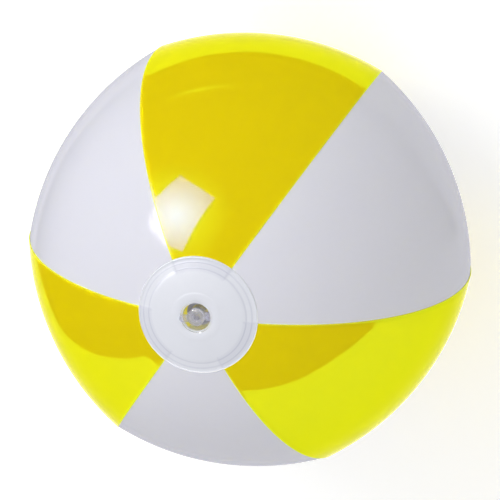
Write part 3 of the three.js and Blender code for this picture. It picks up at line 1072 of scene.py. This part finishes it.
def glow(tree, level, dim, reach, colour=(1, 1, 1)):
    """A light, brightest at the object's origin and dim beyond its reach."""
    where = add_node(tree, "TexCoord").outputs["Object"]
    far = add_node(tree, "VectorMath", {0: where}, operation="LENGTH").outputs["Value"]
    strength = add_node(tree, "MapRange", {0: far, 1: 0, 2: reach, 3: level, 4: dim})
    return add_node(tree, "Emission", {"Color": rgba(colour), "Strength": strength})


def cool_cloth(tree):
    """The softbox as the yellow film shows it. The dye swallows blue, so only blue looks white there.
    Light that goes on from the film is the white softbox's, and other films see that one through this cloth.
    """
    depth = add_node(tree, "LightPath").outputs["Ray Depth"]
    later = add_node(tree, "Math", {0: depth, 1: COOL_DEPTH}, operation="GREATER_THAN")
    shown = glow(tree, COOL_LEVEL, COOL_DIM, COOL_REACH, COOL_TINT)
    onward = glow(tree, SOFTBOX_LEVEL, SOFTBOX_DIM, SOFTBOX_REACH)
    both = add_node(tree, "MixShader", {0: later, 1: shown, 2: onward})
    clear = add_node(tree, "BsdfTransparent")
    return add_node(tree, "AddShader", {0: both, 1: clear})


def add_card(name, centre, middle, corners, material, distance=CARD_DISTANCE):
    """A sheet of the studio round its middle, which shows only as a reflection."""
    axes = picture_axes()
    ways = [axes @ Vector(way).normalized() * distance for way in (middle, *corners)]
    count = len(corners)
    mesh = bpy.data.meshes.new(name)
    faces = [(0, 1 + at, 1 + (at + 1) % count) for at in range(count)]
    mesh.from_pydata([way - ways[0] for way in ways], [], faces)
    mesh.materials.append(material)
    card = bpy.data.objects.new(name, mesh)
    card.location = centre + ways[0]
    bpy.context.scene.collection.objects.link(card)
    card.visible_camera = False
    card.visible_diffuse = False
    card.visible_shadow = False
    return card


def link_to_yellow_film(card, state):
    """Links a card to the yellow film: INCLUDE shows it there alone, EXCLUDE everywhere else."""
    group = bpy.data.collections.new(f"{card.name}_receivers")
    for pair in range(PANEL_PAIRS):
        group.objects.link(bpy.data.objects[f"yellow_gore_{pair + 1}"])
    for receiver in group.collection_objects:
        receiver.light_linking.link_state = state
    card.light_linking.receiver_collection = group


def white_paper(tree, colour):
    """Pale matt paper, which the eye sees a little brighter than the light on it makes it."""
    paper = add_node(tree, "BsdfDiffuse", {"Color": rgba(colour)})
    path = add_node(tree, "LightPath").outputs
    seen = path["Is Camera Ray"]
    for kind in ("Is Glossy Ray", "Is Transmission Ray"):
        seen = add_node(tree, "Math", {0: seen, 1: path[kind]}, operation="MAXIMUM")
    level = add_node(tree, "Math", {0: seen, 1: FLOOR_FILL}, operation="MULTIPLY")
    fill = add_node(tree, "Emission", {"Strength": level})
    return add_node(tree, "AddShader", {0: paper, 1: fill})


def add_floor(colour):
    """A plain pale floor that keeps the ball's shadow."""
    mesh = bpy.data.meshes.new("floor")
    half = FLOOR_SIDE / 2
    corners = [(x, y, -FLOOR_DROP) for x, y in ((-half, -half), (half, -half), (half, half), (-half, half))]
    mesh.from_pydata(corners, [], [(0, 1, 2, 3)])
    mesh.materials.append(ready_material(white_paper, colour))
    floor = bpy.data.objects.new("floor", mesh)
    bpy.context.scene.collection.objects.link(floor)
    floor.visible_glossy = False


def add_world():
    """Even grey light from all round."""
    world = bpy.data.worlds.new("studio")
    world.use_nodes = True
    tree = world.node_tree
    tree.nodes.clear()
    light = add_node(tree, "Background", {"Color": rgba((1, 1, 1)), "Strength": WORLD_LEVEL})
    add_node(tree, "OutputWorld", {"Surface": light})
    bpy.context.scene.world = world


def add_key(centre):
    """The key light, from where the film mirrors its softbox."""
    way = picture_axes() @ Vector(SOFTBOX_HOT_SPOT).normalized()
    data = bpy.data.lights.new("key", "AREA")
    data.shape = "SQUARE"
    data.size = KEY_SIDE
    data.energy = KEY_WATTS
    key = bpy.data.objects.new("key", data)
    key.location = centre + way * KEY_DISTANCE
    key.rotation_mode = "QUATERNION"
    key.rotation_quaternion = (-way).to_track_quat("-Z", "Y")
    key.visible_glossy = False
    key.visible_camera = False
    bpy.context.scene.collection.objects.link(key)


def add_mirrored_studio(centre):
    """The softbox, the wall that it lights, a strip, the white table and backdrop, and a black flag."""
    cloth = new_material("softbox_cloth", glow, SOFTBOX_LEVEL, SOFTBOX_DIM, SOFTBOX_REACH)
    card = add_card("softbox", centre, SOFTBOX_HOT_SPOT, SOFTBOX_CORNERS, cloth)
    link_to_yellow_film(card, "EXCLUDE")
    cloth = ready_material(cool_cloth)
    card = add_card("cool_softbox", centre, SOFTBOX_HOT_SPOT, SOFTBOX_CORNERS, cloth, COOL_DISTANCE)
    link_to_yellow_film(card, "INCLUDE")
    wall = new_material("lit_wall", glow, HALO_LEVEL, WORLD_LEVEL, HALO_REACH)
    hot_spot = Vector(SOFTBOX_HOT_SPOT)
    corners = [hot_spot.lerp(Vector(corner), HALO_SPREAD) for corner in SOFTBOX_CORNERS]
    add_card("lit_wall", centre, SOFTBOX_HOT_SPOT, corners, wall, HALO_DISTANCE)
    strip = new_material("strip_board", glow, STRIP_LEVEL, WORLD_LEVEL, STRIP_REACH)
    add_card("strip", centre, STRIP_MIDDLE, STRIP_CORNERS, strip)
    board = new_material("white_board", glow, SET_LEVEL, SET_LEVEL, CARD_DISTANCE)
    add_card("white_set", centre, SET_MIDDLE, SET_CORNERS, board)
    flag = new_material("black_flag", glow, FLAG_LEVEL, FLAG_LEVEL, CARD_DISTANCE)
    add_card("flag", centre, FLAG_MIDDLE, FLAG_CORNERS, flag)


class BEACHBALL_OT_stage(Builder, bpy.types.Operator):
    """Make the floor, the studio light and the camera"""

    bl_idname = "beach_ball.stage"
    bl_label = "Stage"

    def build(self, settings):
        centre = Vector((0, 0, centre_height(settings.ball)))
        add_floor(settings.colours.floor)
        add_world()
        add_key(centre)
        add_mirrored_studio(centre)
        add_camera(centre)
        bpy.context.scene.view_settings.view_transform = "Standard"


PIECE_OPERATORS = (
    BEACHBALL_OT_panels,
    BEACHBALL_OT_discs,
    BEACHBALL_OT_flange,
    BEACHBALL_OT_skirt,
    BEACHBALL_OT_stem,
    BEACHBALL_OT_flap,
    BEACHBALL_OT_plug,
    BEACHBALL_OT_strap,
    BEACHBALL_OT_stage,
)


class BEACHBALL_PT_sidebar(bpy.types.Panel):
    """Lists the pieces, their sizes and their colours"""

    bl_idname = "BEACHBALL_PT_sidebar"
    bl_label = "Beach Ball"
    bl_space_type = "VIEW_3D"
    bl_region_type = "UI"
    bl_category = "Beach Ball"

    def draw(self, context):
        settings = context.scene.beach_ball
        for operator in PIECE_OPERATORS:
            self.layout.operator(operator.bl_idname)
        for group in (settings.ball, settings.valve, settings.colours):
            box = self.layout.box()
            for name in group.__annotations__:
                box.prop(group, name)


CLASSES = (BallSizes, ValveSizes, BallColours, BeachBall, *PIECE_OPERATORS, BEACHBALL_PT_sidebar)


def register():
    for kind in CLASSES:
        bpy.utils.register_class(kind)
    bpy.types.Scene.beach_ball = PointerProperty(type=BeachBall)


def unregister():
    del bpy.types.Scene.beach_ball
    for kind in reversed(CLASSES):
        bpy.utils.unregister_class(kind)


def main():
    register()
    bpy.ops.beach_ball.panels()
    bpy.ops.beach_ball.discs()
    bpy.ops.beach_ball.flange()
    bpy.ops.beach_ball.skirt()
    bpy.ops.beach_ball.stem()
    bpy.ops.beach_ball.flap()
    bpy.ops.beach_ball.plug()
    bpy.ops.beach_ball.strap()
    bpy.ops.beach_ball.stage()


if __name__ == "__main__":
    main()
